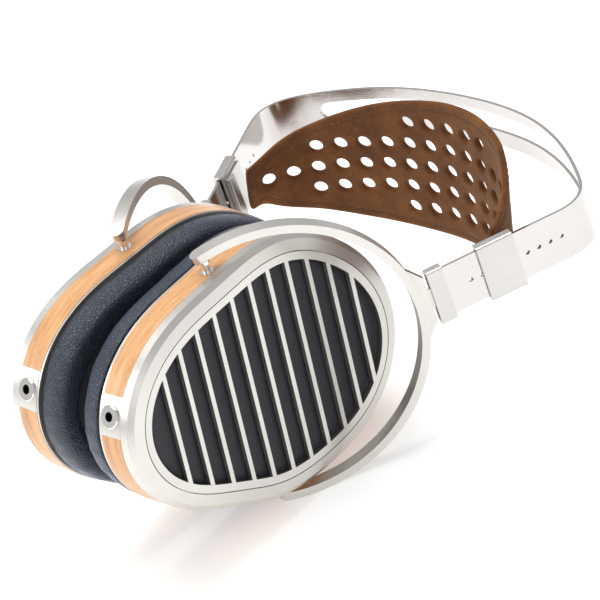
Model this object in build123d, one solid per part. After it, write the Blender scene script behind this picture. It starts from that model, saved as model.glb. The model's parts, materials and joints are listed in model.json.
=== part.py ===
from build123d import *
from math import cos, sin, pi, radians, sqrt
import os

# Open-back over-ear headphones lying on one side.
# X runs from ear to ear, Y from the cup bottoms to the crown and Z up, front to back of the head.
# Every length is in millimetres.

# cup outline, a leaning egg drawn as one formula around its own centre
egg_radius = 50.0
egg_stretch = 0.166
egg_point = -0.035
egg_square = 0.007
egg_ripple = -0.006
egg_lean = -0.109
egg_twist = 0.017
egg_shear = -0.037
egg_shift_u = 4.2
egg_shift_w = -0.8

# cup stack along its axis, measured outward from the pivot axis
face_n = 9.3
rim_grow = 6.3
rim_foot_n = 3.3
wood_low_n = -6.5
wood_thick = 1.6
grille_thick = 1.8
grille_rim = 3.3
seam_gap = 0.34
slot_pitch = 9.54
slot_width = 7.65
slot_count = 12
end_slot_extra = 6.0
slot_shift = -0.6
slot_lean = -7.4
pad_base_n = -8.9
pad_crest_n = -18.6
pad_inner_grow = -20.0

# where each cup hangs and how it leans
pivot_x = 21.7
cup_toe = -1.8
pin_radius = 1.5

# yoke, a hoop round the cup with its plane through the pivot axis
yoke_lean = 30.6
yoke_radius = 55.0
yoke_centre = 12.0
yoke_thick = 3.2
yoke_wide = 5.6
yoke_reach = 103.6
tab_start = 66.0
tab_end = 71.6
tongue_long = 2.3

# head band, straight on each leg and bent over the crown
leg_lean = 25.0
leg_x = 58.4
leg_y = 62.0
leg_long = 55.0
band_start = 2.6
band_wide = 20.0
band_thick = 1.2
slot_wide = 8.0
slot_rise = 1.2
slot_reach_x = 71.0
detent_pitch = 4.6
detent_first = 15.7
detent_count = 9

# parts that ride on the legs
holder_start = 0.6
holder_end = 6.8
slider_start = 20.8
slider_end = 35.2
slider_lip = 1.6

# strap
strap_thick = 2.6
strap_lean_x = 0.25
strap_lean_y = 0.03
strap_stations = (-66.6, -58.7, -49.0, -26.8, -2.8, 21.7, 44.7, 54.4, 61.9, 66.6)
strap_halves = (5.8, 15.0, 20.0, 26.8, 30.5, 31.4, 28.0, 23.5, 16.5, 5.8)
hole_pitch = 10.0
hole_middle = 90.0
hole_radius = 2.6

# headphone socket
jack_angle = 158.3
jack_plate_half = 7.5
jack_bore = 1.8
jack_depth = 14.0
jack_barrel = 3.3
jack_ring = 4.2
jack_n = -1.6

fit_gap = 0.06

leg_dir = Vector(sin(radians(leg_lean)), cos(radians(leg_lean)), 0)
leg_out = Vector(cos(radians(leg_lean)), -sin(radians(leg_lean)), 0)
leg_start = Vector(leg_x, leg_y, 0)
cup_plane = Plane(
    origin=(pivot_x, 0, 0),
    x_dir=(sin(radians(cup_toe)), cos(radians(cup_toe)), 0),
    z_dir=(cos(radians(cup_toe)), -sin(radians(cup_toe)), 0),
)
yoke_plane = Plane(
    origin=(pivot_x, 0, 0),
    x_dir=(sin(radians(yoke_lean)), cos(radians(yoke_lean)), 0),
    z_dir=(cos(radians(yoke_lean)), -sin(radians(yoke_lean)), 0),
)
leg_plane = Plane(origin=leg_start, x_dir=leg_dir, z_dir=leg_out)

nodes = {}


def egg_point_at(turn, grow):
    """Point of the cup outline at an angle, moved outward along the normal."""
    step = 0.01

    def bare(angle):
        reach = 1 + egg_stretch * cos(2 * angle) + egg_point * cos(3 * angle)
        reach += egg_square * cos(4 * angle) + egg_ripple * cos(5 * angle)
        reach += egg_lean * sin(2 * angle) + egg_twist * sin(3 * angle) + egg_shear * sin(4 * angle)
        return Vector(egg_radius * reach * cos(angle), egg_radius * reach * sin(angle), 0)

    along = (bare(turn + step) - bare(turn - step)).normalized()
    outward = Vector(along.Y, -along.X, 0)
    return bare(turn) + outward * grow + Vector(egg_shift_u, egg_shift_w, 0)


def egg_face(grow, height):
    """Flat face bounded by the cup outline at one height of the stack."""
    count = 40
    points = [egg_point_at(2 * pi * index / count, grow) for index in range(count)]
    points = [point + Vector(0, 0, height) for point in points]
    return Face(Wire([Edge.make_spline(points, periodic=True)]))


def egg_block(grow, low, high):
    """Solid egg-shaped slab."""
    return extrude(egg_face(grow, low), amount=high - low, dir=(0, 0, 1))


def egg_ring(outer, inner, low, high):
    """Egg-shaped ring."""
    return egg_block(outer, low, high) - egg_block(inner, low - 1, high + 1)


def egg_taper(grow_low, low, grow_high, high):
    """Slab whose outline changes from one size to another."""
    return loft([egg_face(grow_low, low), egg_face(grow_high, high)], ruled=True)


def strip(shift, width, low, high):
    """Bar across the cup, parallel to the grille bars."""
    bar = Pos(shift, 0, (low + high) / 2) * Box(width, 160, high - low)
    bar = Rot(0, 0, slot_lean) * bar
    return Pos(egg_shift_u, egg_shift_w, 0) * bar


def save_pair(name, shape, place):
    """Put a right-hand part in its place and mirror it for the left ear."""
    right = place.location * shape if place else shape
    nodes[name + "_right"] = right
    nodes[name + "_left"] = mirror(right, about=Plane.YZ)


def jack_plane():
    """Plane on the cup wall with its normal pointing out of the socket."""
    turn = radians(jack_angle)
    point = egg_point_at(turn, rim_grow)
    outward = (egg_point_at(turn, rim_grow + 1) - point).normalized()
    return Plane(origin=point + Vector(0, 0, jack_n), x_dir=(0, 0, 1), z_dir=outward)


def jack_window(half):
    """Block that marks the stretch of wall taken by the socket plate."""
    return jack_plane().location * Box(40, 2 * half, 12)


def jack_drill(radius):
    """Cylinder through the cup wall along the socket axis."""
    return jack_plane().location * Pos(0, 0, -12) * Cylinder(radius, 30)


def wall_height(side):
    """Height of the veneer surface over the pivot axis."""
    turns = [pi / 2 * side + radians(shift) for shift in range(-12, 13)]
    points = [egg_point_at(turn, rim_grow) for turn in turns]
    return min(points, key=lambda point: abs(point.X)).Y


def pivot_drill(radius):
    """Cylinder along both pivot axes."""
    return Rot(90, 0, 0) * Cylinder(radius, 160)


# metal and wood of the cup


def grille():
    plate = egg_block(fit_gap - seam_gap, face_n - grille_thick, face_n)
    opening = egg_block(-grille_rim, face_n - 3, face_n + 1)
    for index in range(slot_count):
        shift = slot_shift + slot_pitch * (index - (slot_count - 1) / 2)
        outward = (index == slot_count - 1) - (index == 0)
        width = slot_width + abs(outward) * end_slot_extra
        slot = opening & strip(shift + outward * end_slot_extra / 2, width, face_n - 3, face_n + 1)
        plate = plate - slot
    return plate


def rim():
    body = egg_block(rim_grow, rim_foot_n, face_n - 2.6)
    body = body + egg_taper(rim_grow, face_n - 2.6, rim_grow - 2.0, face_n - 0.9)
    body = body + egg_taper(rim_grow - 2.0, face_n - 0.9, fit_gap, face_n)
    body = body - egg_block(fit_gap, face_n - grille_thick - fit_gap, face_n + 1)
    return body - egg_block(-3.0, rim_foot_n - 1, face_n + 1)


def cup_shell():
    ring = egg_ring(rim_grow - wood_thick - fit_gap, -1.8, wood_low_n, rim_foot_n - fit_gap)
    ring = ring - jack_drill(jack_barrel + fit_gap)
    return ring - pivot_drill(2.6 + fit_gap)


def veneer_ring():
    return egg_ring(rim_grow, rim_grow - wood_thick, wood_low_n, rim_foot_n - fit_gap)


def wood_band():
    ring = veneer_ring() - jack_window(jack_plate_half + fit_gap)
    return ring - pivot_drill(2.6 + fit_gap)


def jack_plate():
    plate = veneer_ring() & jack_window(jack_plate_half)
    return plate - jack_drill(jack_barrel + fit_gap)


def jack_socket():
    barrel = Pos(0, 0, -7.6) * Cylinder(jack_barrel, 15.2)
    ring = Pos(0, 0, 0.45) * Cylinder(jack_ring, 0.9)
    ring = chamfer(ring.edges().group_by(Axis.Z)[-1], 0.3)
    bore = Pos(0, 0, 1.4 - jack_depth / 2) * Cylinder(jack_bore, jack_depth + 1)
    return jack_plane().location * (barrel + ring - bore)


def base_plate():
    return egg_ring(rim_grow - 0.15, -8.0, wood_low_n - 0.95, wood_low_n - fit_gap)


# sound parts inside the cup


def dust_mesh():
    return egg_block(-3.1, face_n - 2.5, face_n - 2.1)


def driver_frame():
    ring = egg_ring(-3.0 - fit_gap, -12.0, 2.2, 6.6)
    return ring - egg_block(-10.0, 4.2, 4.5)


def magnet_row(low, high):
    window = egg_block(-12.3, low, high)
    bars = []
    for index in range(9):
        bar = window & strip(slot_shift + slot_pitch * (index - 4), 3.0, low, high)
        bars.append(bar.solids()[0])
    return Compound(bars)


def diaphragm():
    return egg_block(-10.2, 4.26, 4.44)


def inner_cloth():
    return egg_block(-8.3, wood_low_n - 0.7, wood_low_n - 0.3)


# ear pad


def pad_ring():
    return egg_ring(rim_grow - 1.3, -17.0, pad_base_n + 0.1, wood_low_n - 1.0)


def pad_body():
    wall_n = pad_crest_n + 2.2
    body = egg_taper(rim_grow - 1.3, wall_n, rim_grow - 0.6, pad_base_n)
    body = body + egg_taper(rim_grow - 3.8, pad_crest_n, rim_grow - 1.3, wall_n)
    hole = egg_block(pad_inner_grow, pad_crest_n - 1, pad_base_n + 1)
    groove = egg_ring(-4.5, pad_inner_grow - 1, pad_crest_n - 1, pad_crest_n + 1.1)
    return body - hole - groove


def pad_face():
    return egg_ring(-4.8, pad_inner_grow + 0.3, pad_crest_n + 0.1, pad_crest_n + 0.8)


# yoke and pivots


def yoke():
    ring = Cylinder(yoke_radius + yoke_thick / 2, yoke_wide)
    ring = ring - Cylinder(yoke_radius - yoke_thick / 2, yoke_wide)
    reach = radians(yoke_reach)
    far = 90
    wedge = Polyline(
        (0, 0),
        (far * cos(reach), far * sin(reach)),
        (far * 1.2, far * 1.2),
        (far * 1.2, -far * 1.2),
        (far * cos(reach), -far * sin(reach)),
        close=True,
    )
    hoop = ring & extrude(make_face(wedge), amount=yoke_wide, both=True)
    for side in (-1, 1):
        tip = Pos(yoke_radius * cos(reach), side * yoke_radius * sin(reach), 0)
        turned = Rot(0, 0, side * yoke_reach) * Rot(0, 90, 90)
        hoop = hoop + tip * turned * Cylinder(yoke_wide / 2, yoke_thick)
    hoop = Pos(yoke_centre, 0, 0) * hoop
    tab = Polyline((tab_start, 16), (tab_end, 9.4), (tab_end, -9.4), (tab_start, -16), close=True)
    hoop = hoop + extrude(make_face(tab), amount=1.1, both=True)
    hoop = hoop + Pos(tab_end, 0, 0) * Box(2 * tongue_long, 8, 0.8)
    return hoop - pivot_seats(pin_radius + fit_gap, 2.0)


def arm_height():
    """Distance from the pivot centre to the inner face of the yoke arm."""
    inner = yoke_radius - yoke_thick / 2
    return sqrt(inner * inner - yoke_centre * yoke_centre)


def pivot_seats(radius, deep):
    """Two short cylinders sunk into the inner faces of the yoke arms."""
    middle = arm_height() + deep / 2 - 0.5
    seat = Rot(90, 0, 0) * Cylinder(radius, deep + 1)
    return Pos(0, middle, 0) * seat + Pos(0, -middle, 0) * seat


def pivot_pin(side):
    """Pin from the yoke arm into the cup, with a ball collar between them."""
    high = arm_height() + 1.4
    low = abs(wall_height(side)) - 5.0
    rod = Pos(0, side * (high + low) / 2, 0) * Rot(90, 0, 0) * Cylinder(pin_radius, high - low)
    collar_at = arm_height() - 1.2
    collar = Pos(0, side * collar_at, 0) * Rot(90, 0, 0) * Cylinder(2.3, 1.3)
    return rod + collar


def pivot_pins():
    return Compound([solid for side in (-1, 1) for solid in pivot_pin(side).solids()])


def pivot_bushes():
    bushes = []
    for side in (-1, 1):
        high = abs(wall_height(side)) + 0.1
        low = high - 6.0
        sleeve = Pos(0, side * (high + low) / 2, 0) * Rot(90, 0, 0) * Cylinder(2.6, high - low)
        bushes += (sleeve - pivot_drill(pin_radius + fit_gap)).solids()
    return Compound(bushes)


# parts on the band legs, drawn flat with X along the leg and Z outward


def leg_box(start, end, half, low, high):
    return Pos((start + end) / 2, 0, (low + high) / 2) * Box(end - start, 2 * half, high - low)


def holder():
    outer = leg_box(holder_start, holder_end, band_wide / 2 + 1.3, -2.2, 2.2)
    outer = fillet(outer.edges().filter_by(Axis.X), 1.0)
    return outer - leg_box(-5, 40, band_wide / 2 + 0.15, -0.75, 0.75)


def slider():
    outer = leg_box(slider_start, slider_end, band_wide / 2 + slider_lip, -2.4, 2.4)
    outer = fillet(outer.edges().filter_by(Axis.X), 1.1)
    return outer - leg_box(0, 60, band_wide / 2 + 0.3, -1.1, 1.0)


def detent_spring():
    dimple = detent_first + 3 * detent_pitch
    leaf = leg_box(slider_start + 1, slider_end - 1, 3.0, -1.04, -0.75)
    return leaf + Pos(dimple, 0, -0.75) * Sphere(0.7) - leg_box(0, 60, 5, -3, -1.04)


def strap_clip():
    middle = (slider_start + slider_end) / 2
    back = leg_box(slider_start + 0.5, slider_end - 0.5, band_wide / 2 - 0.5, -3.3, -2.5)
    lip = leg_box(slider_start + 0.5, middle - 2.0, band_wide / 2 - 0.5, -4.6, -2.5)
    return fillet((back + lip).edges().filter_by(Axis.Y), 0.3)


# head band and strap, drawn from centre lines in the XY plane


def ribbon(points, thick, half_wide, lean=(0, 0)):
    """Bent strip whose centre line is a smooth curve through the points, leaning as it rises."""
    centre = Edge.make_spline([Vector(x, y, 0) for x, y in points])
    marks = [index / 60 for index in range(61)]
    outer = []
    inner = []
    for mark in marks:
        along = centre % mark
        side = Vector(along.Y, -along.X, 0) * (thick / 2)
        outer.append((centre @ mark) + side)
        inner.append((centre @ mark) - side)
    one = Edge.make_spline(outer)
    two = Edge.make_spline(inner)
    ends = [Edge.make_line(outer[0], inner[0]), Edge.make_line(outer[-1], inner[-1])]
    face = Face(Wire.combine([one, two] + ends)[0])
    rising = Vector(lean[0], lean[1], 1)
    return extrude(face, amount=half_wide * rising.length, dir=rising.normalized(), both=True)


def leg_spot(along, side):
    spot = leg_start + leg_dir * along
    return (side * spot.X, spot.Y)


def band():
    straight = [band_start, 14, 26, 38, 46, 51, leg_long]
    points = [leg_spot(along, -1) for along in straight]
    points += [(-85.2, 124.5), (-82.0, 131.8), (-75.6, 137.6), (-66.0, 143.6), (-47.0, 152.2)]
    points += [(-24.0, 157.4), (2.0, 158.9), (29.0, 155.6), (49.5, 147.8), (64.5, 138.9)]
    points += [(74.8, 131.3), (79.4, 127.0), (82.1, 122.5), (83.0, 117.8)]
    points += [leg_spot(along, 1) for along in reversed(straight)]
    strip_body = ribbon(points, band_thick, band_wide / 2)
    slot = Pos(0, 150, slot_rise) * Box(2 * slot_reach_x, 120, slot_wide)
    slot = fillet(slot.edges().filter_by(Axis.Y), slot_wide / 2 - 0.1)
    strip_body = strip_body - slot
    for side in (-1, 1):
        for index in range(detent_count):
            x, y = leg_spot(detent_first + detent_pitch * index, side)
            strip_body = strip_body - Pos(x, y, 0) * Rot(0, 90, -side * leg_lean) * Cylinder(0.85, 6)
    return strip_body


def strap_line():
    points = [(-63.8, 89.5), (-61.6, 98.6), (-48.8, 111.6), (-30.5, 120.8), (-11.0, 126.4), (9.0, 128.2)]
    points += [(27.0, 125.8), (44.5, 118.6), (58.0, 106.4), (63.0, 96.0), (63.8, 89.5)]
    return points


def strap_edge(side):
    """Upper or lower edge of the strap, seen from the crown."""
    points = []
    for across, half in zip(strap_stations, strap_halves):
        points.append((across + side * half * strap_lean_x, 0, side * half))
    return Spline(*points)


def strap():
    body = ribbon(strap_line(), strap_thick, max(strap_halves) + 2, (strap_lean_x, strap_lean_y))
    top = strap_edge(1)
    low = strap_edge(-1)
    sides = [Line(top @ 0, low @ 0), Line(top @ 1, low @ 1)]
    body = body & extrude(make_face([top, low] + sides), amount=200, both=True)
    for hole in strap_holes():
        body = body - hole
    return body


def strap_holes():
    """Round holes in five rows, square to the strap."""
    centre = Edge.make_spline([Vector(x, y, 0) for x, y in strap_line()])
    lean = Vector(strap_lean_x, strap_lean_y, 1)
    holes = []
    for row, first, last in ((-2, -2, 2), (-1, -6, 5), (0, -8, 6), (1, -6, 5), (2, -2, 2)):
        for column in range(first, last + 1):
            mark = (hole_middle + column * hole_pitch) / centre.length
            along = centre.tangent_at(mark)
            square = Vector(along.Y, -along.X, 0)
            spot = centre.position_at(mark) + lean * (row * hole_pitch)
            place = Plane(origin=spot, x_dir=along, z_dir=square)
            holes.append(place.location * Cylinder(hole_radius, 8))
    return holes


def build():
    save_pair("grille", grille(), cup_plane)
    save_pair("rim", rim(), cup_plane)
    save_pair("cup_shell", cup_shell(), cup_plane)
    save_pair("wood_band", wood_band(), cup_plane)
    save_pair("jack_plate", jack_plate(), cup_plane)
    save_pair("jack_socket", jack_socket(), cup_plane)
    save_pair("base_plate", base_plate(), cup_plane)
    save_pair("dust_mesh", dust_mesh(), cup_plane)
    save_pair("driver_frame", driver_frame(), cup_plane)
    save_pair("outer_magnets", magnet_row(4.7, 6.2), cup_plane)
    save_pair("inner_magnets", magnet_row(2.4, 3.9), cup_plane)
    save_pair("diaphragm", diaphragm(), cup_plane)
    save_pair("inner_cloth", inner_cloth(), cup_plane)
    save_pair("pad_ring", pad_ring(), cup_plane)
    save_pair("pad_body", pad_body(), cup_plane)
    save_pair("pad_face", pad_face(), cup_plane)
    save_pair("pivot_bushes", pivot_bushes(), cup_plane)
    save_pair("yoke", yoke(), yoke_plane)
    save_pair("pivot_pins", pivot_pins(), yoke_plane)
    save_pair("holder", holder(), leg_plane)
    save_pair("slider", slider(), leg_plane)
    save_pair("detent_spring", detent_spring(), leg_plane)
    save_pair("strap_clip", strap_clip(), leg_plane)
    nodes["band"] = band()
    nodes["strap"] = strap()


build()
boxes = [shape.bounding_box() for shape in nodes.values()]
low_x = min(box.min.X for box in boxes)
high_x = max(box.max.X for box in boxes)
low_y = min(box.min.Y for box in boxes)
high_y = max(box.max.Y for box in boxes)
shift = Vector(-(low_x + high_x) / 2, -(low_y + high_y) / 2, -min(box.min.Z for box in boxes))
os.makedirs("parts", exist_ok=True)
for name, shape in nodes.items():
    export_step(Pos(shift.X, shift.Y, shift.Z) * shape, "parts/" + name + ".step")
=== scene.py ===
import json
import math

import bmesh
import bpy
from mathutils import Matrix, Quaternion, Vector, noise
from mathutils.geometry import delaunay_2d_cdt


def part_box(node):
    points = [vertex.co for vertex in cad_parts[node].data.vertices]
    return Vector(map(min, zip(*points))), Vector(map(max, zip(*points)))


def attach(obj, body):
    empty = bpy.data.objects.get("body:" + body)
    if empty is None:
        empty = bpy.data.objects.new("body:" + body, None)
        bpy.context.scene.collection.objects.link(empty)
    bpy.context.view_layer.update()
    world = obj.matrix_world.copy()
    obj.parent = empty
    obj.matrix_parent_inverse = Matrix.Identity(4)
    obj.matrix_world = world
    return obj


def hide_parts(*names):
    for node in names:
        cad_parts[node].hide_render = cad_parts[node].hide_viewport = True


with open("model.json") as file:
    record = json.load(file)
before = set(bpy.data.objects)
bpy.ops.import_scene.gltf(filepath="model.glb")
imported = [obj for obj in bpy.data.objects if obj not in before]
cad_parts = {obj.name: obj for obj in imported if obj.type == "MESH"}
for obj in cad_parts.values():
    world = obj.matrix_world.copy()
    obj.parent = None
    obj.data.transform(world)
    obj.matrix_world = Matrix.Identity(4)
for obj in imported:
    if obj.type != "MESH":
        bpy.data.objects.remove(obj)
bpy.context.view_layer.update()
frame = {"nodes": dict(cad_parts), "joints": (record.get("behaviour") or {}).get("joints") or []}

MM = 0.001
SIDES = {"right": 1, "left": -1}
nodes = frame["nodes"]
joints = {joint["name"]: joint for joint in frame["joints"]}

# cup outline and placing, the same formula and sizes as the CAD model
EGG_RADIUS = 50.0
EGG_COS = {2: 0.166, 3: -0.035, 4: 0.007, 5: -0.006}
EGG_SIN = {2: -0.109, 3: 0.017, 4: -0.037}
EGG_SHIFT = (4.2, -0.8)
CUP_TOE = math.radians(-1.8)
PAD_BASE = -8.9
PAD_CREST = -18.6
PAD_INNER = -20.0

# how the leather's creases grow towards the tight turns of a pad, in metres
PAD_MIDDLE_Y = -0.047
CREASE_START = 0.035
CREASE_FADE = 0.03

# stretched cloths, in millimetres
CLOTH_THICK = 0.3
CLOTH_SAG = 0.12
CLOTH_RINGS = 14
CLOTH_SPOKES = 160


def outline_point(turn, grow):
    """Point of the cup outline in millimetres, moved outward along its normal."""

    def bare(angle):
        reach = 1.0
        reach += sum(size * math.cos(times * angle) for times, size in EGG_COS.items())
        reach += sum(size * math.sin(times * angle) for times, size in EGG_SIN.items())
        return Vector((EGG_RADIUS * reach * math.cos(angle), EGG_RADIUS * reach * math.sin(angle)))

    along = (bare(turn + 0.01) - bare(turn - 0.01)).normalized()
    spot = bare(turn) + Vector((along.y, -along.x)) * grow
    return spot.x + EGG_SHIFT[0], spot.y + EGG_SHIFT[1]


def cup_point(side, across, up, out):
    """Point in the row frame from the cup's own coordinates in millimetres."""
    origin = Vector(joints["cup_tilt_right"]["pos_m"])
    crown = Vector((math.sin(CUP_TOE), math.cos(CUP_TOE), 0))
    outward = Vector((math.cos(CUP_TOE), -math.sin(CUP_TOE), 0))
    point = origin + (crown * across + Vector((0, 0, 1)) * up + outward * out) * MM
    return mirrored(point) if side == "left" else point


def mirrored(point):
    """The same point on the left side, across the plane midway between the cups."""
    right = Vector(joints["cup_tilt_right"]["pos_m"])
    left = Vector(joints["cup_tilt_left"]["pos_m"])
    return Vector((right.x + left.x - point.x, point.y, point.z))


# materials


class Shader:
    """Short way to build a procedural material out of nodes."""

    def __init__(self, name):
        self.material = bpy.data.materials.new(name)
        self.material.use_nodes = True
        self.tree = self.material.node_tree
        self.main = self.tree.nodes["Principled BSDF"]
        self.spot = self.tree.nodes.new("ShaderNodeTexCoord").outputs["Object"]

    def node(self, kind, values=(), **settings):
        made = self.tree.nodes.new("ShaderNode" + kind)
        for key, value in settings.items():
            setattr(made, key, value)
        for key, value in dict(values).items():
            if isinstance(value, bpy.types.NodeSocket):
                self.tree.links.new(value, made.inputs[key])
            else:
                made.inputs[key].default_value = value
        return made

    def stretched(self, size):
        return self.node("Mapping", {"Vector": self.spot, "Scale": size}).outputs["Vector"]

    def noise(self, size, detail=4.0, rough=0.55, where=None):
        spot = self.spot if where is None else where
        values = {"Vector": spot, "Scale": size, "Detail": detail, "Roughness": rough}
        return self.node("TexNoise", values).outputs["Fac"]

    def math(self, kind, one, two=0.0):
        return self.node("Math", {0: one, 1: two}, operation=kind).outputs[0]

    def ramp(self, factor, stops):
        made = self.node("ValToRGB", {"Fac": factor})
        band = made.color_ramp
        while len(band.elements) < len(stops):
            band.elements.new(0.5)
        for element, (place, colour) in zip(band.elements, stops):
            element.position = place
            element.color = (*colour, 1)
        return made.outputs["Color"]

    def spread(self, factor, low, high):
        return self.node("MapRange", {"Value": factor, "To Min": low, "To Max": high}).outputs["Result"]

    def bump(self, height, deep, strength):
        values = {"Height": height, "Distance": deep, "Strength": strength}
        return self.node("Bump", values).outputs["Normal"]

    def set(self, **values):
        names = {key.replace("_", " "): value for key, value in values.items()}
        for key, value in names.items():
            if isinstance(value, bpy.types.NodeSocket):
                self.tree.links.new(value, self.main.inputs[key])
            else:
                self.main.inputs[key].default_value = value


def satin_metal(name, light, dark, rough, grain, stretch):
    """Metal with a fine grain, faint patches and slightly uneven gloss."""
    made = Shader(name)
    fine = made.noise(grain, 3.0, 0.6, made.stretched(stretch))
    patches = made.noise(45.0, 3.0)
    both = made.math("ADD", made.math("MULTIPLY", fine, 0.5), made.math("MULTIPLY", patches, 0.5))
    made.set(
        Base_Color=made.ramp(both, [(0.25, dark), (0.75, light)]),
        Metallic=1.0,
        Roughness=made.spread(fine, rough * 0.8, rough * 1.25),
        Normal=made.bump(fine, 0.00004, 0.35),
    )
    return made.material


def wood_material():
    """Veneer whose grain runs round the cup."""
    made = Shader("light_veneer")
    parts = made.node("SeparateXYZ", {"Vector": made.spot})
    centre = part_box("wood_band_right")
    middle_y = (centre[0][1] + centre[1][1]) / 2
    middle_z = (centre[0][2] + centre[1][2]) / 2
    away_y = made.math("SUBTRACT", parts.outputs["Y"], middle_y)
    away_z = made.math("SUBTRACT", parts.outputs["Z"], middle_z)
    turn = made.math("ARCTAN2", away_z, away_y)

    def grain(round_cup, through):
        around = made.math("MULTIPLY", turn, round_cup)
        across = made.math("MULTIPLY", parts.outputs["X"], through)
        return made.node("CombineXYZ", {"X": around, "Y": across, "Z": 0.0}).outputs["Vector"]

    streaks = made.noise(1.0, 5.0, 0.6, grain(2.6, 420.0))
    flecks = made.noise(1.0, 2.0, 0.5, grain(34.0, 2600.0))
    mixed = made.math("ADD", made.math("MULTIPLY", streaks, 0.7), made.math("MULTIPLY", flecks, 0.3))
    tones = [(0.3, (0.42, 0.19, 0.070)), (0.5, (0.65, 0.335, 0.135)), (0.68, (0.80, 0.46, 0.205))]
    made.set(
        Base_Color=made.ramp(mixed, tones),
        Roughness=made.spread(flecks, 0.34, 0.5),
        Coat_Weight=0.35,
        Coat_Roughness=0.22,
        Normal=made.bump(flecks, 0.00006, 0.4),
    )
    return made.material


def leather_material():
    """Black leather with a grain of two sizes of pebble."""
    made = Shader("grained_leather")
    drift = made.node("TexNoise", {"Vector": made.spot, "Scale": 300.0, "Detail": 2.0}).outputs["Color"]
    nudge = made.node("VectorMath", {0: drift, "Scale": 0.0012}, operation="SCALE").outputs["Vector"]
    warped = made.node("VectorMath", {0: made.spot, 1: nudge}, operation="ADD").outputs["Vector"]
    pebbles = made.node("TexVoronoi", {"Vector": warped, "Scale": 780.0}, feature="DISTANCE_TO_EDGE")
    small = made.node("TexVoronoi", {"Vector": warped, "Scale": 1700.0}, feature="DISTANCE_TO_EDGE")
    rounded = made.math("POWER", pebbles.outputs["Distance"], 0.5)
    fine = made.noise(2600.0, 3.0)
    height = made.math("ADD", rounded, made.math("MULTIPLY", small.outputs["Distance"], 0.35))
    height = made.math("ADD", height, made.math("MULTIPLY", fine, 0.2))
    tone = made.noise(60.0, 4.0)
    made.set(
        Base_Color=made.ramp(tone, [(0.3, (0.005, 0.006, 0.011)), (0.7, (0.012, 0.014, 0.025))]),
        Roughness=made.spread(fine, 0.25, 0.40),
        Specular_IOR_Level=0.8,
        Specular_Tint=(0.78, 0.87, 1.0, 1),
        Sheen_Weight=0.2,
        Sheen_Roughness=0.35,
        Sheen_Tint=(0.50, 0.58, 1.0, 1),
        Normal=made.bump(height, 0.00042, 0.9),
    )
    return made.material


def woven_material(name, pitch, dark, light, rough, sheen):
    """Fine cloth with threads running both ways."""
    made = Shader(name)
    waves = []
    for axis in ("Y", "Z"):
        parts = made.node("SeparateXYZ", {"Vector": made.spot})
        waves.append(made.math("SINE", made.math("MULTIPLY", parts.outputs[axis], 2 * math.pi / pitch)))
    weave = made.spread(made.math("MULTIPLY", waves[0], waves[1]), 0.5, 1.0)
    fluff = made.noise(2200.0, 3.0)
    both = made.math("MULTIPLY", weave, made.spread(fluff, 0.6, 1.3))
    made.set(
        Base_Color=made.ramp(both, [(0.2, dark), (0.85, light)]),
        Roughness=rough,
        Sheen_Weight=sheen,
        Sheen_Roughness=0.5,
        Normal=made.bump(both, 0.00015, 0.6),
    )
    return made.material


def suede_material():
    """Brown suede with a short nap, brushed unevenly."""
    made = Shader("brown_suede")
    nap = made.noise(1500.0, 5.0, 0.7)
    brushed = made.noise(110.0, 4.0, 0.6)
    broad = made.noise(24.0, 2.0)
    mixed = made.math("ADD", made.math("MULTIPLY", nap, 0.45), made.math("MULTIPLY", brushed, 0.35))
    mixed = made.math("ADD", mixed, made.math("MULTIPLY", broad, 0.2))
    tones = [(0.34, (0.048, 0.015, 0.004)), (0.5, (0.122, 0.042, 0.011)), (0.66, (0.22, 0.084, 0.026))]
    made.set(
        Base_Color=made.ramp(mixed, tones),
        Roughness=0.95,
        Specular_IOR_Level=0.15,
        Sheen_Weight=0.2,
        Sheen_Roughness=0.6,
        Sheen_Tint=(1.0, 0.72, 0.5, 1),
        Normal=made.bump(nap, 0.0002, 0.6),
    )
    return made.material


def plain_material(name, dark, light, rough, metallic=0.0):
    """Moulded or plated surface with a fine uneven skin."""
    made = Shader(name)
    skin = made.noise(1300.0, 3.0)
    broad = made.noise(70.0, 3.0)
    made.set(
        Base_Color=made.ramp(broad, [(0.3, dark), (0.7, light)]),
        Metallic=metallic,
        Roughness=made.spread(skin, rough * 0.85, rough * 1.2),
        Normal=made.bump(skin, 0.00005, 0.4),
    )
    return made.material


looks = {
    "satin": satin_metal(
        "satin_aluminium", (0.70, 0.68, 0.645), (0.58, 0.565, 0.535), 0.34, 1500.0, (1, 1, 1)
    ),
    "brushed": satin_metal(
        "brushed_steel", (0.63, 0.615, 0.595), (0.52, 0.51, 0.495), 0.32, 900.0, (1, 0.12, 4)
    ),
    "spring": satin_metal("spring_steel", (0.66, 0.635, 0.615), (0.58, 0.56, 0.545), 0.13, 500.0, (1, 1, 9)),
    "nickel": satin_metal("polished_nickel", (0.86, 0.84, 0.82), (0.76, 0.74, 0.72), 0.12, 1200.0, (1, 1, 1)),
    "wood": wood_material(),
    "leather": leather_material(),
    "mesh": woven_material("dark_mesh", 0.0009, (0.001, 0.001, 0.002), (0.009, 0.011, 0.019), 0.6, 0.08),
    "knit": woven_material("soft_knit", 0.0012, (0.004, 0.004, 0.005), (0.018, 0.018, 0.021), 0.9, 0.3),
    "suede": suede_material(),
    "plastic": plain_material("matte_black", (0.010, 0.010, 0.011), (0.018, 0.018, 0.020), 0.5),
    "magnet": plain_material("plated_magnet", (0.30, 0.30, 0.31), (0.42, 0.42, 0.43), 0.35, 1.0),
    "film": plain_material("thin_film", (0.45, 0.45, 0.46), (0.6, 0.6, 0.6), 0.25, 0.6),
    "thread": plain_material("brown_thread", (0.10, 0.045, 0.02), (0.17, 0.08, 0.036), 0.7),
    "edge": plain_material("dark_edge", (0.020, 0.010, 0.006), (0.045, 0.022, 0.012), 0.65),
}

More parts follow.
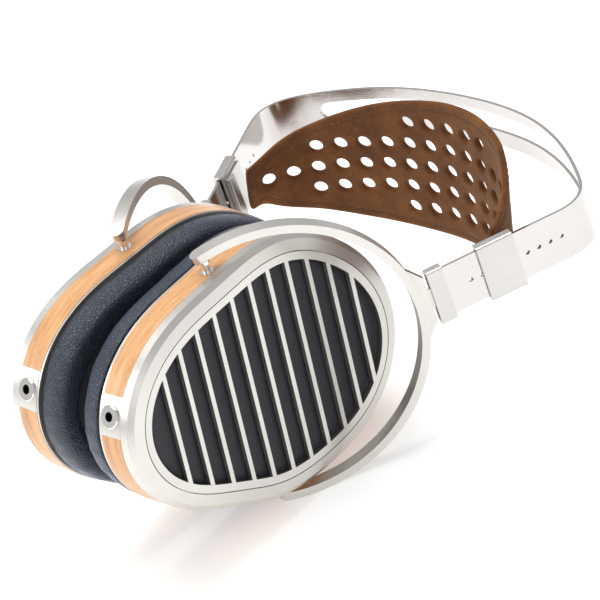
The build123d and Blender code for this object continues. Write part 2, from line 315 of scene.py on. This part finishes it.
node_looks = {
    "grille": "satin",
    "rim": "satin",
    "cup_shell": "plastic",
    "wood_band": "wood",
    "jack_plate": "satin",
    "jack_socket": "nickel",
    "base_plate": "satin",
    "driver_frame": "plastic",
    "outer_magnets": "magnet",
    "inner_magnets": "magnet",
    "diaphragm": "film",
    "pad_ring": "plastic",
    "pivot_bushes": "nickel",
    "yoke": "satin",
    "pivot_pins": "nickel",
    "holder": "brushed",
    "slider": "brushed",
    "detent_spring": "spring",
    "strap_clip": "brushed",
}


def wear(thing, look):
    thing.data.materials.clear()
    thing.data.materials.append(looks[look])


for part, look in node_looks.items():
    for side in SIDES:
        wear(nodes[part + "_" + side], look)
wear(nodes["band"], "spring")


# new pieces


def add_object(name, mesh, look):
    thing = bpy.data.objects.new(name, mesh)
    bpy.context.scene.collection.objects.link(thing)
    mesh.materials.clear()
    mesh.materials.append(looks[look])
    mesh.polygons.foreach_set("use_smooth", [True] * len(mesh.polygons))
    return thing


def subdivide_once(thing):
    finer = thing.modifiers.new("finer", "SUBSURF")
    finer.levels = finer.render_levels = 1


def swept_mesh(name, side, profile, count, wobble):
    """Closed ring whose section is the profile of (grow, out) pairs, carried round the cup outline."""
    points = []
    for turn_index in range(count):
        turn = 2 * math.pi * turn_index / count
        for grow, out in profile:
            across, up = outline_point(turn, grow)
            points.append(cup_point(side, across, up, out))
    size = len(profile)
    faces = []
    for turn_index in range(count):
        after = (turn_index + 1) % count
        for index in range(size):
            beside = (index + 1) % size
            here, there = turn_index * size, after * size
            face = (here + index, here + beside, there + beside, there + index)
            faces.append(face if side == "right" else face[::-1])
    mesh = bpy.data.meshes.new(name)
    mesh.from_pydata(points, [], faces)
    work = bmesh.new()
    work.from_mesh(mesh)
    bmesh.ops.recalc_face_normals(work, faces=work.faces)
    work.normal_update()
    for vert in work.verts:
        vert.co += vert.normal * wobble(vert.co)
    work.to_mesh(mesh)
    work.free()
    return mesh


def pad_wobble(spot):
    """Small hills and creases of leather over foam, deeper where the cup turns tightly."""
    broad = noise.noise(spot * 34.0) * 0.00034
    crease = noise.noise(Vector((spot.x * 50, spot.y * 210, spot.z * 210))) * 0.00016
    ends = min(max((abs(spot.y - PAD_MIDDLE_Y) - CREASE_START) / CREASE_FADE, 0.0), 1.0)
    folds = noise.noise(Vector((spot.x * 70, spot.z * 330, spot.y * 120 + 5))) * 0.00038 * ends
    return broad + crease + folds


def cloth_wobble(spot):
    return noise.noise(spot * 60.0) * 0.0001


def ear_pad(side):
    """Leather pad, from its seat on the ring, over the crest and down the inside."""
    profile = [
        (5.2, PAD_BASE - 0.05), (5.6, PAD_BASE - 0.5), (5.72, PAD_BASE - 1.6), (5.66, PAD_BASE - 3.4),
        (5.5, PAD_BASE - 5.2), (5.1, PAD_BASE - 6.8), (4.5, PAD_BASE - 8.1), (3.5, PAD_BASE - 9.1),
        (2.2, PAD_CREST + 0.1), (0.4, PAD_CREST), (-1.6, PAD_CREST + 0.1), (-3.0, PAD_CREST + 0.5),
        (-3.9, PAD_CREST + 1.3), (-10.0, PAD_CREST + 1.6), (-17.0, PAD_CREST + 1.5),
        (-18.6, PAD_CREST + 1.7), (-19.6, PAD_CREST + 2.6), (PAD_INNER, PAD_CREST + 4.6),
        (PAD_INNER, PAD_BASE - 2.0), (PAD_INNER + 0.2, PAD_BASE - 0.05), (-8.0, PAD_BASE),
    ]
    mesh = swept_mesh("ear_pad_" + side, side, profile, 360, pad_wobble)
    pad = add_object("ear_pad_" + side, mesh, "leather")
    subdivide_once(pad)
    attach(pad, "cup_body_" + side)
    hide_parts("pad_body_" + side)


def pad_cloth(side):
    """Knitted face of the pad, lying in the leather's crest."""
    profile = [
        (-3.7, PAD_CREST + 1.0), (-4.6, PAD_CREST + 0.5), (-8.0, PAD_CREST + 0.1), (-12.0, PAD_CREST),
        (-15.5, PAD_CREST + 0.1), (-18.0, PAD_CREST + 0.6), (-19.0, PAD_CREST + 1.4),
        (-18.2, PAD_CREST + 1.55), (-14.0, PAD_CREST + 1.3), (-8.0, PAD_CREST + 1.3),
        (-4.4, PAD_CREST + 1.35),
    ]
    mesh = swept_mesh("pad_cloth_" + side, side, profile, 240, cloth_wobble)
    cloth = add_object("pad_cloth_" + side, mesh, "knit")
    subdivide_once(cloth)
    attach(cloth, "cup_body_" + side)
    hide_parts("pad_face_" + side)


def cloth_rows(work, side, grow, out):
    """Centre point and rings of one skin of a stretched cloth."""
    rows = []
    for ring in range(1, CLOTH_RINGS + 1):
        share = ring / CLOTH_RINGS
        row = []
        for index in range(CLOTH_SPOKES):
            edge = outline_point(2 * math.pi * index / CLOTH_SPOKES, grow)
            across = EGG_SHIFT[0] + (edge[0] - EGG_SHIFT[0]) * share
            up = EGG_SHIFT[1] + (edge[1] - EGG_SHIFT[1]) * share
            sag = -CLOTH_SAG * (1 - share * share)
            row.append(work.verts.new(cup_point(side, across, up, out + sag)))
        rows.append(row)
    centre = work.verts.new(cup_point(side, EGG_SHIFT[0], EGG_SHIFT[1], out - CLOTH_SAG))
    return centre, rows


def flat_cloth(name, side, grow, out, look, node):
    """Stretched oval of cloth with a faint sag, as two skins and an edge."""
    mesh = bpy.data.meshes.new(name)
    work = bmesh.new()
    skins = []
    for offset in (0.0, -CLOTH_THICK):
        centre, rows = cloth_rows(work, side, grow, out + offset)
        for index in range(CLOTH_SPOKES):
            after = (index + 1) % CLOTH_SPOKES
            work.faces.new((centre, rows[0][index], rows[0][after]))
            for one, two in zip(rows, rows[1:]):
                work.faces.new((one[index], two[index], two[after], one[after]))
        skins.append(rows[-1])
    for index in range(CLOTH_SPOKES):
        after = (index + 1) % CLOTH_SPOKES
        work.faces.new((skins[0][index], skins[1][index], skins[1][after], skins[0][after]))
    bmesh.ops.recalc_face_normals(work, faces=work.faces)
    area = sum(face.calc_area() for face in work.faces) / 2
    work.to_mesh(mesh)
    work.free()
    cloth = add_object(name + "_" + side, mesh, look)
    border = [outline_point(2 * math.pi * index / CLOTH_SPOKES, grow) for index in range(CLOTH_SPOKES)]
    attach(cloth, "cup_body_" + side)
    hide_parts(node + "_" + side)


# strap, drawn as the CAD model draws it: a centre line in plan, leaning as it rises

PIVOT_X = 21.7
STRAP_LINE = (
    (-63.8, 89.5), (-61.6, 98.6), (-48.8, 111.6), (-30.5, 120.8), (-11.0, 126.4), (9.0, 128.2),
    (27.0, 125.8), (44.5, 118.6), (58.0, 106.4), (63.0, 96.0), (63.8, 89.5),
)
STRAP_LEAN = Vector((0.25, 0.03, 1.0))
STRAP_STATIONS = (-66.6, -58.7, -49.0, -26.8, -2.8, 21.7, 44.7, 54.4, 61.9, 66.6)
STRAP_HALVES = (5.8, 15.0, 20.0, 26.8, 30.5, 31.4, 28.0, 23.5, 16.5, 5.8)
STRAP_THICK = 2.6
HOLE_ROWS = ((-2, -2, 2), (-1, -6, 5), (0, -8, 6), (1, -6, 5), (2, -2, 2))
HOLE_MIDDLE = 90.0
HOLE_PITCH = 10.0
HOLE_RADIUS = 2.6
STITCH_INSET = 3.2
STITCH_LONG = 2.0
STITCH_STEP = 2.9
STITCH_RADIUS = 0.27
STITCH_SINK = 0.12
STITCH_END = 6.0
STITCH_SIDES = 6
EDGE_STEP = 1.6
EDGE_ROUNDING = 0.55
PRESSED_DEPTH = 0.3
HOLE_BORDER = 0.8
HOLE_SIDES = 20
HOLE_REACH = 3.4
GRID_STEP = (2.2, 2.0)
GRID_ROWS = 15
GRID_CLEARANCE = 4.6


def smooth_line(knots, steps):
    """Points of a smooth curve through the knots."""
    knots = [Vector((x, y, 0)) for x, y in knots]
    padded = [knots[0] * 2 - knots[1]] + knots + [knots[-1] * 2 - knots[-2]]
    line = []
    for before, start, end, after in zip(padded, padded[1:], padded[2:], padded[3:]):
        for step in range(steps):
            share = step / steps
            straight = start * 2 + (end - before) * share
            square = (before * 2 - start * 5 + end * 4 - after) * share**2
            cube = (start * 3 - before - end * 3 + after) * share**3
            line.append((straight + square + cube) / 2)
    line.append(knots[-1])
    return line


class StrapLine:
    """Centre line of the strap, read by the distance along it in millimetres."""

    def __init__(self):
        self.points = smooth_line(STRAP_LINE, 24)
        self.marks = [0.0]
        for one, two in zip(self.points, self.points[1:]):
            self.marks.append(self.marks[-1] + (two - one).length)
        self.length = self.marks[-1]

    def at(self, mark):
        mark = min(max(mark, 0.0), self.length)
        index = 0
        while index < len(self.marks) - 2 and self.marks[index + 1] < mark:
            index += 1
        share = (mark - self.marks[index]) / (self.marks[index + 1] - self.marks[index])
        return self.points[index].lerp(self.points[index + 1], share)

    def along(self, mark):
        return (self.at(mark + 0.8) - self.at(mark - 0.8)).normalized()


strap_line = StrapLine()


def strap_half(across):
    """Half width of the strap at a place across the head."""
    stations = [Vector((x, h)) for x, h in zip(STRAP_STATIONS, STRAP_HALVES)]
    index = 0
    while index < len(stations) - 2 and stations[index + 1].x < across:
        index += 1
    one, two = stations[index], stations[index + 1]
    before = stations[index - 1] if index else one * 2 - two
    after = stations[index + 2] if index + 2 < len(stations) else two * 2 - one
    share = min(max((across - one.x) / (two.x - one.x), 0.0), 1.0)
    start_slope = (two.y - before.y) / (two.x - before.x) * (two.x - one.x)
    end_slope = (after.y - one.y) / (after.x - one.x) * (two.x - one.x)
    cube = share**3
    square = share**2
    height = one.y * (2 * cube - 3 * square + 1) + two.y * (3 * square - 2 * cube)
    return height + start_slope * (cube - 2 * square + share) + end_slope * (cube - square)


def strap_spot(mark, high, out):
    """Row-frame point of the strap from distance along, height and distance out of its middle."""
    along = strap_line.along(mark)
    outward = Vector((-along.y, along.x, 0))
    origin = Vector(joints["cup_tilt_right"]["pos_m"]) - Vector((PIVOT_X * MM, 0, 0))
    return origin + (strap_line.at(mark) + STRAP_LEAN * high + outward * out) * MM


def strap_outline(inset, step):
    """Closed loop of (along, high) pairs round the strap, a little inside its edge."""
    count = int(strap_line.length / step)
    marks = [inset + (strap_line.length - 2 * inset) * index / count for index in range(count + 1)]
    top = [(mark, strap_half(strap_line.at(mark).x) - inset) for mark in marks]
    return top + [(mark, -high) for mark, high in reversed(top)]


def hole_circle(mark, high, radius, count):
    """Round hole on the strap, allowing for its lean."""
    slip = STRAP_LEAN.dot(strap_line.along(mark))
    loop = []
    for index in range(count):
        turn = 2 * math.pi * index / count
        rise = radius * math.sin(turn)
        loop.append((mark + radius * math.cos(turn) - slip * rise, high + rise))
    return loop


def strap_holes():
    spots = []
    for row, first, last in HOLE_ROWS:
        spots += [(HOLE_MIDDLE + column * HOLE_PITCH, row * HOLE_PITCH) for column in range(first, last + 1)]
    return spots


def inside_loop(spot, loop):
    inside = False
    for (x_one, y_one), (x_two, y_two) in zip(loop, loop[1:] + loop[:1]):
        if (y_one > spot[1]) != (y_two > spot[1]):
            if spot[0] < x_one + (spot[1] - y_one) * (x_two - x_one) / (y_two - y_one):
                inside = not inside
    return inside


def strap_loops(holes):
    """Loops that bound the strap's face, and loops inside it that only guide the mesh."""
    insets = (0.9, STITCH_INSET - 0.7, STITCH_INSET, STITCH_INSET + 0.7)
    bounds = [strap_outline(0.0, EDGE_STEP)]
    guides = [strap_outline(inset, EDGE_STEP) for inset in insets]
    for mark, high in holes:
        bounds.append(hole_circle(mark, high, HOLE_RADIUS, HOLE_SIDES))
        guides.append(hole_circle(mark, high, HOLE_RADIUS + HOLE_BORDER, HOLE_SIDES))
    return bounds, guides


def strap_grid(holes):
    """Even spread of points over the strap's face, clear of its border and holes."""
    inner = strap_outline(STITCH_INSET + 1.6, 4.0)
    spots = []
    for column in range(int(strap_line.length / GRID_STEP[0])):
        for row in range(-GRID_ROWS, GRID_ROWS + 1):
            spot = (column * GRID_STEP[0] + (row % 2) * GRID_STEP[0] / 2, row * GRID_STEP[1])
            clear = all(math.dist(spot, hole) > GRID_CLEARANCE for hole in holes)
            if clear and inside_loop(spot, inner):
                spots.append(spot)
    return spots


def strap_face():
    """Flat mesh of the strap: its points, its triangles, and its edge and pressed points."""
    holes = strap_holes()
    bounds, guides = strap_loops(holes)
    spots = []
    edges = []
    for loop in bounds + guides:
        start = len(spots)
        spots += loop
        edges += [(start + index, start + (index + 1) % len(loop)) for index in range(len(loop))]
    spots += strap_grid(holes)
    made = delaunay_2d_cdt([Vector(spot) for spot in spots], edges, [], 0, 1e-5)
    flat, faces, sources = made[0], made[2], made[3]
    triangles = []
    for face in faces:
        middle = sum((flat[index] for index in face), Vector((0, 0))) / len(face)
        near = [loop for hole, loop in zip(holes, bounds[1:]) if math.dist(middle, hole) < HOLE_REACH]
        punched = any(inside_loop(middle, loop) for loop in near)
        if inside_loop(middle, bounds[0]) and not punched:
            triangles.append(face)
    bound_count = sum(len(loop) for loop in bounds)
    pressed_start = bound_count + 2 * len(guides[0])
    pressed_range = range(pressed_start, pressed_start + len(guides[0]))
    rim = {index for index, source in enumerate(sources) if any(item < bound_count for item in source)}
    pressed = {index for index, source in enumerate(sources) if any(item in pressed_range for item in source)}
    return flat, triangles, rim, pressed


def strap_skin(work, flat, rim, pressed, side):
    """One face of the strap, thinner at its edges and along the stitched line."""
    row = []
    for index, spot in enumerate(flat):
        out = STRAP_THICK / 2
        if index in rim:
            out -= EDGE_ROUNDING
        elif index in pressed:
            out -= PRESSED_DEPTH
        lump = noise.noise(Vector((spot.x * 0.06, spot.y * 0.06, 3.0))) * 0.22
        row.append(work.verts.new(strap_spot(spot.x, spot.y, side * out + lump)))
    return row


def strap_walls(work, outer, inner, triangles):
    """Walls between the two faces, round the border and through each hole."""
    uses = {}
    for triangle in triangles:
        for one, two in zip(triangle, triangle[1:] + triangle[:1]):
            uses.setdefault((min(one, two), max(one, two)), []).append((one, two))
    for pairs in uses.values():
        if len(pairs) == 1:
            one, two = pairs[0]
            wall = work.faces.new((outer[two], outer[one], inner[one], inner[two]))
            wall.material_index = 1


def strap_piece():
    """Soft strap with rounded edges, punched holes and a pressed line inside its border."""
    flat, triangles, rim, pressed = strap_face()
    work = bmesh.new()
    outer, inner = (strap_skin(work, flat, rim, pressed, side) for side in (1, -1))
    for triangle in triangles:
        work.faces.new([outer[index] for index in triangle])
        work.faces.new([inner[index] for index in reversed(triangle)])
    strap_walls(work, outer, inner, triangles)
    loose = [vert for vert in work.verts if not vert.link_faces]
    bmesh.ops.delete(work, geom=loose, context="VERTS")
    bmesh.ops.recalc_face_normals(work, faces=work.faces)
    mesh = bpy.data.meshes.new("suede_strap")
    work.to_mesh(mesh)
    work.free()
    strap = add_object("suede_strap", mesh, "suede")
    mesh.materials.append(looks["edge"])
    subdivide_once(strap)
    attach(strap, "strap_body")
    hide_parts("strap")


def stitch(work, start, end):
    """One stitch, a short thread narrowed at both ends."""
    turn = (end - start).to_track_quat("Z", "Y")
    tube = []
    for share, radius in ((0.0, 0.5), (0.15, 1.0), (0.85, 1.0), (1.0, 0.5)):
        ring = []
        for index in range(STITCH_SIDES):
            angle = 2 * math.pi * index / STITCH_SIDES
            shift = Vector((math.cos(angle), math.sin(angle), 0)) * radius * STITCH_RADIUS * MM
            ring.append(work.verts.new(start.lerp(end, share) + turn @ shift))
        tube.append(ring)
    for one, two in zip(tube, tube[1:]):
        for index in range(STITCH_SIDES):
            beside = (index + 1) % STITCH_SIDES
            work.faces.new((one[index], one[beside], two[beside], two[index]))
    work.faces.new(tube[0][::-1])
    work.faces.new(tube[-1])


def stitch_spot(mark, edge, out):
    return strap_spot(mark, edge * (strap_half(strap_line.at(mark).x) - STITCH_INSET), out)


def strap_stitches():
    """Rows of small stitches along both long edges and on both faces of the strap."""
    work = bmesh.new()
    for out in (STRAP_THICK / 2 - STITCH_SINK, STITCH_SINK - STRAP_THICK / 2):
        for edge in (1, -1):
            mark = STITCH_END
            while mark < strap_line.length - STITCH_END:
                start = stitch_spot(mark, edge, out)
                end = stitch_spot(mark + STITCH_LONG, edge, out)
                stitch(work, start, end)
                mark += STITCH_LONG / (end - start).length * MM * STITCH_STEP
    mesh = bpy.data.meshes.new("strap_stitches")
    work.to_mesh(mesh)
    work.free()
    stitches = add_object("strap_stitches", mesh, "thread")
    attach(stitches, "strap_body")


for side in SIDES:
    ear_pad(side)
    pad_cloth(side)
    flat_cloth("dust_cloth", side, -3.1, 6.9, "mesh", "dust_mesh")
    flat_cloth("inner_lining", side, -8.3, -6.85, "knit", "inner_cloth")
strap_piece()
strap_stitches()


# floor, lights and camera


def stage_floor():
    mesh = bpy.data.meshes.new("studio_floor")
    work = bmesh.new()
    bmesh.ops.create_grid(work, x_segments=8, y_segments=8, size=6.0)
    work.to_mesh(mesh)
    work.free()
    made = Shader("pale_floor")
    tone = made.noise(3.0, 2.0)
    made.set(
        Base_Color=made.ramp(tone, [(0.3, (0.93, 0.93, 0.93)), (0.7, (0.95, 0.95, 0.95))]),
        Roughness=0.9,
        Emission_Color=(1, 1, 1, 1),
        Emission_Strength=0.3,
    )
    looks["floor"] = made.material
    add_object("studio_floor", mesh, "floor")


def area_light(name, spot, target, size, power):
    light = bpy.data.lights.new(name, "AREA")
    light.shape = "RECTANGLE"
    light.size, light.size_y = size
    light.energy = power
    thing = bpy.data.objects.new(name, light)
    bpy.context.scene.collection.objects.link(thing)
    thing.location = spot
    thing.rotation_mode = "QUATERNION"
    thing.rotation_quaternion = (Vector(target) - Vector(spot)).to_track_quat("-Z", "Y")


stage_floor()
world = bpy.data.worlds.new("pale_room")
world.use_nodes = True
world.node_tree.nodes["Background"].inputs["Color"].default_value = (1, 1, 1, 1)
world.node_tree.nodes["Background"].inputs["Strength"].default_value = 0.6
bpy.context.scene.world = world
target = (0.0, 0.0, 0.05)
area_light("key_light", (-0.3, 0.1, 1.5), target, (1.2, 1.2), 17)
area_light("side_light", (-0.9, -1.0, 0.9), target, (0.5, 1.0), 7)
area_light("front_light", (1.3, -0.4, 0.5), target, (0.8, 0.8), 2)

lens = bpy.data.cameras.new("camera")
lens.lens = 270.0
lens.sensor_width = 36.0
lens.clip_start = 0.1
lens.clip_end = 50.0
camera = bpy.data.objects.new("camera", lens)
bpy.context.scene.collection.objects.link(camera)
camera.location = (1.13888, -0.81507, 0.92409)
camera.rotation_mode = "QUATERNION"
camera.rotation_quaternion = Quaternion((0.835605, 0.386482, 0.293054, 0.257904))
bpy.context.scene.camera = camera
bpy.context.scene.view_settings.view_transform = "Standard"
